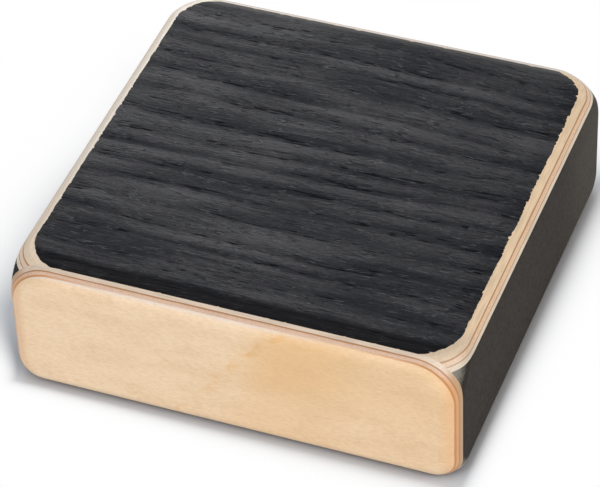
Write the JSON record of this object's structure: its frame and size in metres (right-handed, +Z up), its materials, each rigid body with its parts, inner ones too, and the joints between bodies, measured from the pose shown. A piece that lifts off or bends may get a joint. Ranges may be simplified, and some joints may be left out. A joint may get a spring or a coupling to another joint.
{
  "type": "wooden shaker",
  "caption": "Flat square hand shaker of thin plywood sheets on dark side rails, with loose grains inside that run further from front to rear than from side to side.",
  "frame": {"origin": "middle of the underside", "axes": "+X along the front edge to the right, +Y from the front sheet to the rear sheet, +Z up"},
  "size_m": [0.1, 0.1, 0.033],
  "materials": {
    "black_oak": "brushed, dyed black",
    "birch": "sanded, satin",
    "birch_core": "sanded edge grain",
    "dark_rail": "dyed through, matte",
    "steel_shot": "plain"
  },
  "bodies": {
    "shell": {"top_oak_veneer": "black_oak", "top_outer_ply": "birch", "top_core_ply": "birch_core", "top_inner_ply": "birch", "bottom_oak_veneer": "black_oak", "bottom_outer_ply": "birch", "bottom_core_ply": "birch_core", "bottom_inner_ply": "birch", "front_outer_ply": "birch", "front_core_ply": "birch_core", "front_inner_ply": "birch", "rear_outer_ply": "birch", "rear_core_ply": "birch_core", "rear_inner_ply": "birch", "left_rail": "dark_rail", "right_rail": "dark_rail"},
    "spread_filling": {"spread_grains": "steel_shot"},
    "heap_filling": {"heap_base_grains": "steel_shot"},
    "hopping_filling": {"heap_top_grains": "steel_shot"}
  },
  "joints": [
    {"name": "short_shake", "type": "slide", "parent": "shell", "child": "spread_filling", "axis": [1, 0, 0], "range_m": [-0.0151, 0.0151]},
    {"name": "long_shake", "type": "slide", "parent": "spread_filling", "child": "heap_filling", "axis": [0, 1, 0], "range_m": [-0.0318, 0.0318]},
    {"name": "hop", "type": "slide", "parent": "heap_filling", "child": "hopping_filling", "axis": [0, 0, 1], "range_m": [0, 0.0191]}
  ]
}
